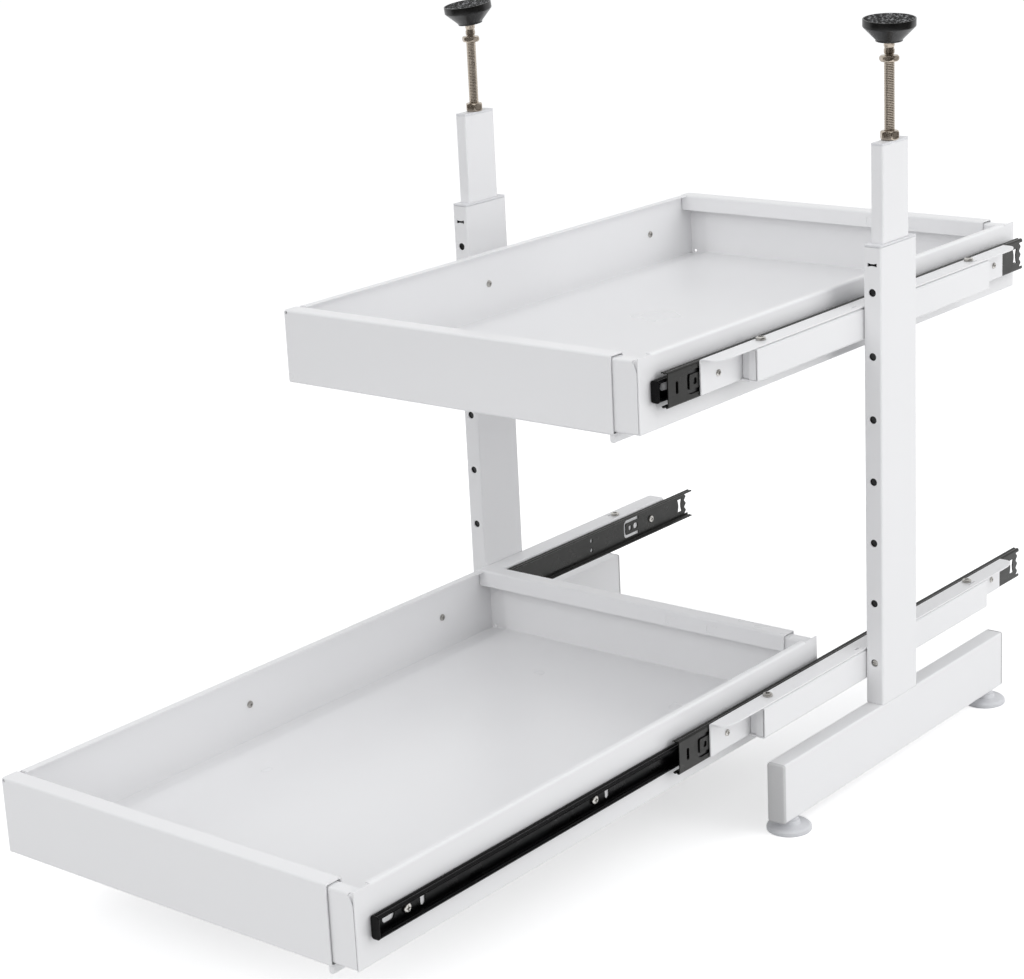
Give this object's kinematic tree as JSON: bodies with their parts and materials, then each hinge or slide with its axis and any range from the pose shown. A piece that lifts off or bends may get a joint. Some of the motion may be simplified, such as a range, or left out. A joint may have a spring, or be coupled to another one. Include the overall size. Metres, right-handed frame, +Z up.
{
  "type": "pull-out cabinet organizer",
  "caption": "Tiered pull-out cabinet organizer: width-adjustable steel trays on ball slides between telescopic posts with ceiling pads and levelling feet.",
  "frame": {"origin": "on the floor, below the middle of the organizer's box as it stands with the lower tray pulled out", "axes": "+X across the trays to the side of their extensions, +Y back into the cabinet, +Z up"},
  "size_m": [0.4372, 0.847, 0.5867],
  "materials": {
    "white_powder_coat": "smooth satin white powder coat",
    "black_slide_steel": "black-plated slide steel",
    "bright_steel": "zinc-plated steel",
    "nickel_plate": "warm nickel-plated steel",
    "white_plastic": "milky white moulded plastic",
    "grey_plastic": "light grey moulded plastic",
    "black_plastic": "matt black moulded plastic",
    "black_rubber": "ribbed black rubber"
  },
  "bodies": {
    "left_frame": {"left_base": "white_powder_coat", "left_post": "white_powder_coat", "left_post_bushing": "white_plastic", "left_post_screw": "bright_steel", "left_front_base_cap": "grey_plastic", "left_rear_base_cap": "grey_plastic", "left_lower_beam": "white_powder_coat", "left_lower_bracket": "white_powder_coat", "left_lower_rail_member": "black_slide_steel", "left_lower_front_flange_screw": "bright_steel", "left_lower_rear_flange_screw": "bright_steel", "left_upper_beam": "white_powder_coat", "left_upper_bracket": "white_powder_coat", "left_upper_rail_member": "black_slide_steel", "left_upper_front_flange_screw": "bright_steel", "left_upper_rear_flange_screw": "bright_steel"},
    "left_inner_post": {"left_inner_post": "white_powder_coat", "left_inner_post_cap": "white_plastic", "left_lock_nut": "nickel_plate"},
    "left_jack_rod": {"left_jack_rod": "nickel_plate"},
    "left_pad": {"left_pad": "black_plastic", "left_pad_tread": "black_rubber"},
    "left_front_foot": {"left_front_foot": "white_plastic"},
    "left_rear_foot": {"left_rear_foot": "white_plastic"},
    "right_frame": {"right_base": "white_powder_coat", "right_post": "white_powder_coat", "right_post_bushing": "white_plastic", "right_post_screw": "bright_steel", "right_front_base_cap": "grey_plastic", "right_rear_base_cap": "grey_plastic", "right_lower_beam": "white_powder_coat", "right_lower_bracket": "white_powder_coat", "right_lower_rail_member": "black_slide_steel", "right_lower_front_flange_screw": "bright_steel", "right_lower_rear_flange_screw": "bright_steel", "right_upper_beam": "white_powder_coat", "right_upper_bracket": "white_powder_coat", "right_upper_rail_member": "black_slide_steel", "right_upper_front_flange_screw": "bright_steel", "right_upper_rear_flange_screw": "bright_steel"},
    "right_inner_post": {"right_inner_post": "white_powder_coat", "right_inner_post_cap": "white_plastic", "right_lock_nut": "nickel_plate"},
    "right_jack_rod": {"right_jack_rod": "nickel_plate"},
    "right_pad": {"right_pad": "black_plastic", "right_pad_tread": "black_rubber"},
    "right_front_foot": {"right_front_foot": "white_plastic"},
    "right_rear_foot": {"right_rear_foot": "white_plastic"},
    "lower_tray": {"lower_tray_main": "white_powder_coat", "left_lower_tray_member": "black_slide_steel"},
    "lower_extension": {"lower_tray_extension": "white_powder_coat", "right_lower_tray_member": "black_slide_steel"},
    "left_lower_cage": {"left_lower_ball_cage": "bright_steel"},
    "right_lower_cage": {"right_lower_ball_cage": "bright_steel"},
    "upper_tray": {"upper_tray_main": "white_powder_coat", "left_upper_tray_member": "black_slide_steel"},
    "upper_extension": {"upper_tray_extension": "white_powder_coat", "right_upper_tray_member": "black_slide_steel"},
    "left_upper_cage": {"left_upper_ball_cage": "bright_steel"},
    "right_upper_cage": {"right_upper_ball_cage": "bright_steel"}
  },
  "joints": [
    {"name": "width_adjust", "type": "slide", "parent": "left_frame", "child": "right_frame", "axis": [1, 0, 0], "range_m": [-0.015, 0.17]},
    {"name": "lower_tray_slide", "type": "slide", "parent": "left_frame", "child": "lower_tray", "axis": [0, -1, 0], "range_m": [-0.312, 0.066]},
    {"name": "lower_extension_slide", "type": "slide", "parent": "lower_tray", "child": "lower_extension", "axis": [1, 0, 0], "range_m": [-0.015, 0.17]},
    {"name": "left_lower_cage_slide", "type": "slide", "parent": "left_frame", "child": "left_lower_cage", "axis": [0, -1, 0], "range_m": [-0.156, 0.033]},
    {"name": "right_lower_cage_slide", "type": "slide", "parent": "right_frame", "child": "right_lower_cage", "axis": [0, -1, 0], "range_m": [-0.156, 0.033]},
    {"name": "upper_tray_slide", "type": "slide", "parent": "left_frame", "child": "upper_tray", "axis": [0, -1, 0], "range_m": [0, 0.378]},
    {"name": "upper_extension_slide", "type": "slide", "parent": "upper_tray", "child": "upper_extension", "axis": [1, 0, 0], "range_m": [-0.015, 0.17]},
    {"name": "left_upper_cage_slide", "type": "slide", "parent": "left_frame", "child": "left_upper_cage", "axis": [0, -1, 0], "range_m": [0, 0.189]},
    {"name": "right_upper_cage_slide", "type": "slide", "parent": "right_frame", "child": "right_upper_cage", "axis": [0, -1, 0], "range_m": [0, 0.189]},
    {"name": "left_inner_post_slide", "type": "slide", "parent": "left_frame", "child": "left_inner_post", "axis": [0, 0, 1], "range_m": [-0.07, 0.145]},
    {"name": "left_jack_rod_slide", "type": "slide", "parent": "left_inner_post", "child": "left_jack_rod", "axis": [0, 0, 1], "range_m": [-0.045, 0.06]},
    {"name": "left_pad_tilt", "type": "hinge", "parent": "left_jack_rod", "child": "left_pad", "pos_m": [-0.199, 0.1645, 0.5712], "axis": [1, 0, 0], "range_deg": [-17.6, 2.4]},
    {"name": "left_front_foot_screw", "type": "slide", "parent": "left_frame", "child": "left_front_foot", "axis": [0, 0, 1], "range_m": [-0.012, 0]},
    {"name": "left_rear_foot_screw", "type": "slide", "parent": "left_frame", "child": "left_rear_foot", "axis": [0, 0, 1], "range_m": [-0.012, 0]},
    {"name": "right_inner_post_slide", "type": "slide", "parent": "right_frame", "child": "right_inner_post", "axis": [0, 0, 1], "range_m": [-0.07, 0.145]},
    {"name": "right_jack_rod_slide", "type": "slide", "parent": "right_inner_post", "child": "right_jack_rod", "axis": [0, 0, 1], "range_m": [-0.045, 0.06]},
    {"name": "right_pad_tilt", "type": "hinge", "parent": "right_jack_rod", "child": "right_pad", "pos_m": [0.199, 0.1645, 0.5712], "axis": [1, 0, 0], "range_deg": [-10, 10]},
    {"name": "right_front_foot_screw", "type": "slide", "parent": "right_frame", "child": "right_front_foot", "axis": [0, 0, 1], "range_m": [-0.012, 0]},
    {"name": "right_rear_foot_screw", "type": "slide", "parent": "right_frame", "child": "right_rear_foot", "axis": [0, 0, 1], "range_m": [-0.012, 0]}
  ],
  "couplings": [
    {"joint": "lower_extension_slide", "follows": "width_adjust", "ratio": 1},
    {"joint": "left_lower_cage_slide", "follows": "lower_tray_slide", "ratio": 0.5},
    {"joint": "right_lower_cage_slide", "follows": "lower_tray_slide", "ratio": 0.5},
    {"joint": "upper_extension_slide", "follows": "width_adjust", "ratio": 1},
    {"joint": "left_upper_cage_slide", "follows": "upper_tray_slide", "ratio": 0.5},
    {"joint": "right_upper_cage_slide", "follows": "upper_tray_slide", "ratio": 0.5}
  ]
}
